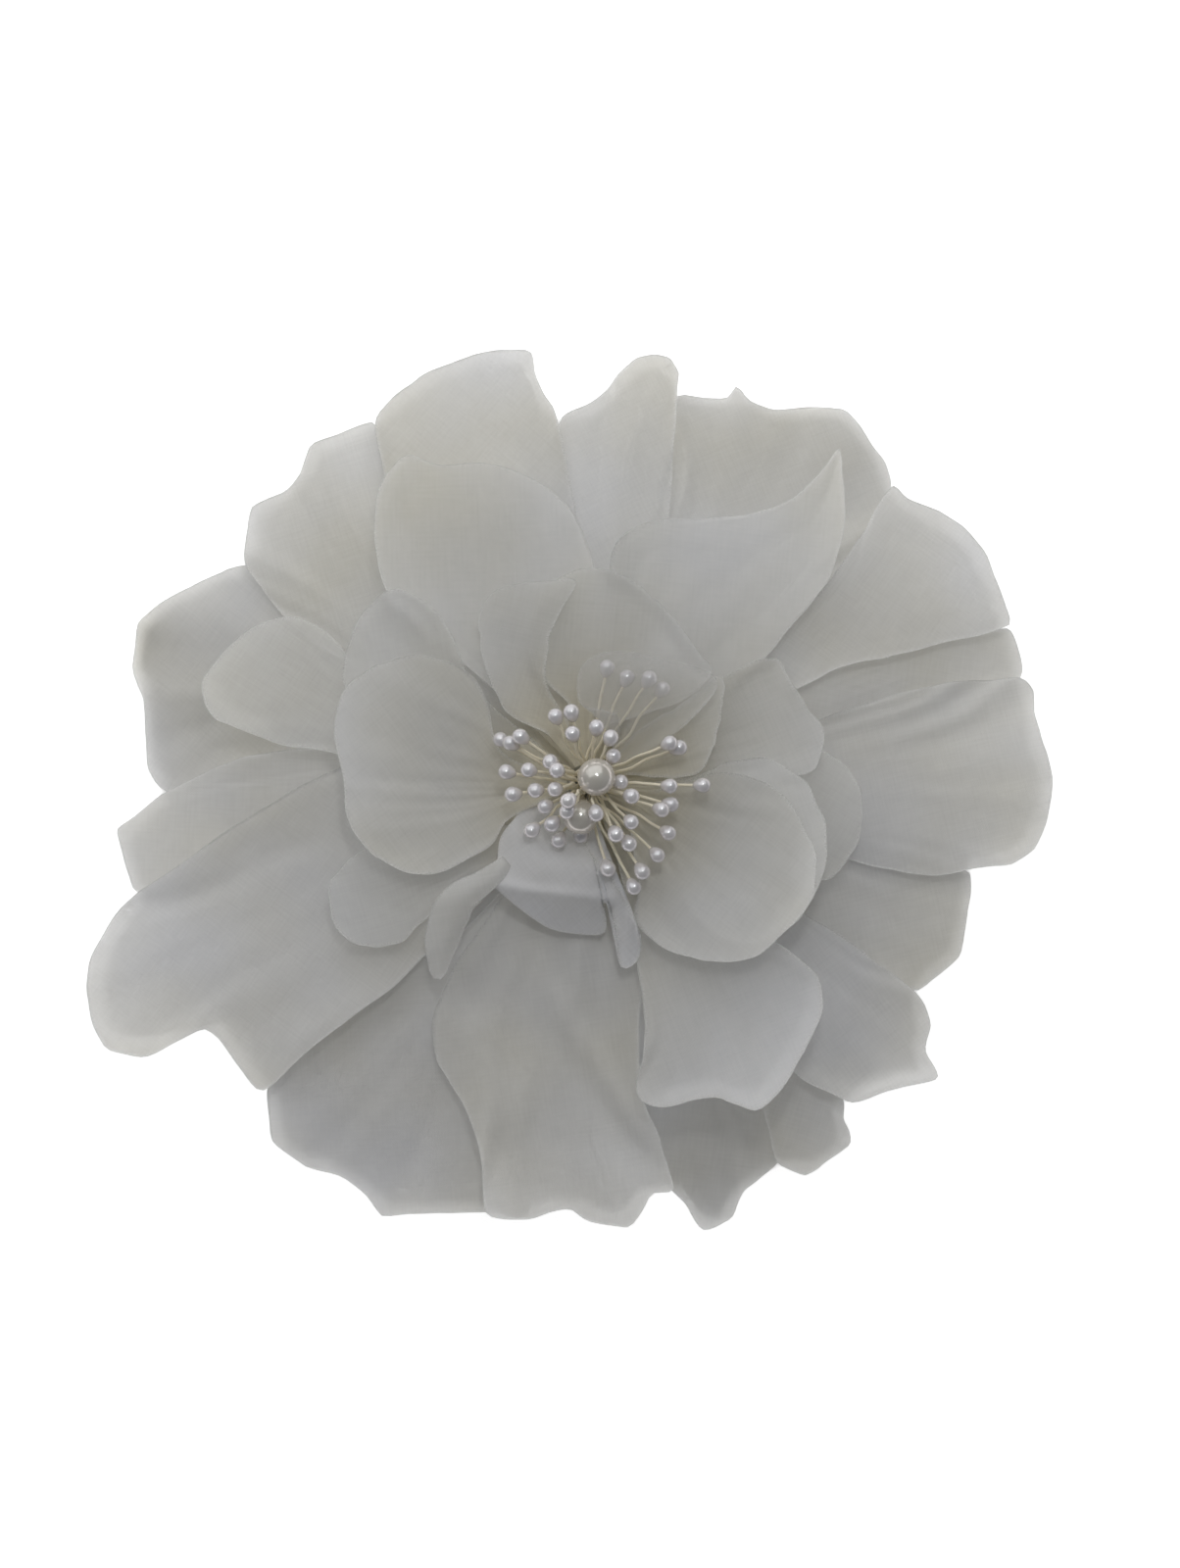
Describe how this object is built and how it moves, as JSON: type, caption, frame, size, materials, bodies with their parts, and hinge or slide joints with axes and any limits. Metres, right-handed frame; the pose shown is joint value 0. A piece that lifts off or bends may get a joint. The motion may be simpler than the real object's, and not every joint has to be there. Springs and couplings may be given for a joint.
{
  "type": "flower hair clip",
  "caption": "Layered translucent organza flower with pearl-headed stamens and large faux pearls at its centre, on felt discs carried by a sprung alligator hair clip.",
  "frame": {"origin": "centre of the flower, on the flat underside of the clip's lower jaw", "axes": "+Z out of the flower towards the viewer, +Y towards the top of the flower as pictured, +X along the clip from its lever to its jaw's tip"},
  "size_m": [0.1589, 0.1449, 0.0415],
  "materials": {
    "organza_outer": "sheer woven organza, soft sheen",
    "organza_middle": "sheer woven organza, soft sheen",
    "organza_inner": "sheer woven organza with a frayed edge",
    "stamen": "pearl lacquer heads on stiff cream thread",
    "pearl": "pearl lacquer",
    "binding_thread": "wound cotton thread",
    "felt": "pressed felt",
    "clip_steel": "nickel-plated sheet steel",
    "spring_steel": "drawn spring wire"
  },
  "bodies": {
    "flower": {"petal_outer_01": "organza_outer", "petal_outer_02": "organza_outer", "petal_outer_03": "organza_outer", "petal_outer_04": "organza_outer", "petal_outer_05": "organza_outer", "petal_outer_06": "organza_outer", "petal_outer_07": "organza_outer", "petal_outer_08": "organza_outer", "petal_outer_09": "organza_outer", "petal_outer_10": "organza_outer", "petal_outer_11": "organza_outer", "petal_outer_12": "organza_outer", "petal_outer_13": "organza_outer", "petal_outer_14": "organza_outer", "petal_outer_15": "organza_outer", "petal_outer_16": "organza_outer", "petal_middle_01": "organza_middle", "petal_middle_02": "organza_middle", "petal_middle_03": "organza_middle", "petal_middle_04": "organza_middle", "petal_middle_05": "organza_middle", "petal_middle_06": "organza_middle", "petal_middle_07": "organza_middle", "petal_middle_08": "organza_middle", "petal_inner_01": "organza_inner", "petal_inner_02": "organza_inner", "petal_inner_03": "organza_inner", "petal_inner_04": "organza_inner", "petal_inner_05": "organza_inner", "petal_inner_06": "organza_inner", "petal_inner_07": "organza_inner", "petal_inner_08": "organza_inner", "stamens_01": "stamen", "stamens_02": "stamen", "stamens_03": "stamen", "stamens_04": "stamen", "stamens_05": "stamen", "stamens_06": "stamen", "stamens_07": "stamen", "stamens_08": "stamen", "stamens_09": "stamen", "stamens_10": "stamen", "stamens_11": "stamen", "pearl_upper": "pearl", "pearl_lower": "pearl", "pearl_wire": "spring_steel", "stem_binding": "binding_thread", "base_felt": "felt", "backing_felt": "felt", "clip_arm": "clip_steel", "hinge_pin": "clip_steel", "clip_spring": "spring_steel"},
    "jaw": {"clip_jaw": "clip_steel"}
  },
  "joints": [
    {"name": "jaw_hinge", "type": "hinge", "parent": "flower", "child": "jaw", "pos_m": [-0.009, 0, 0.0027], "axis": [0, 1, 0], "range_deg": [0, 25], "stiffness_Nm_per_rad": 0.06, "springref_deg": -34.38, "deforming": ["clip_spring"]}
  ]
}
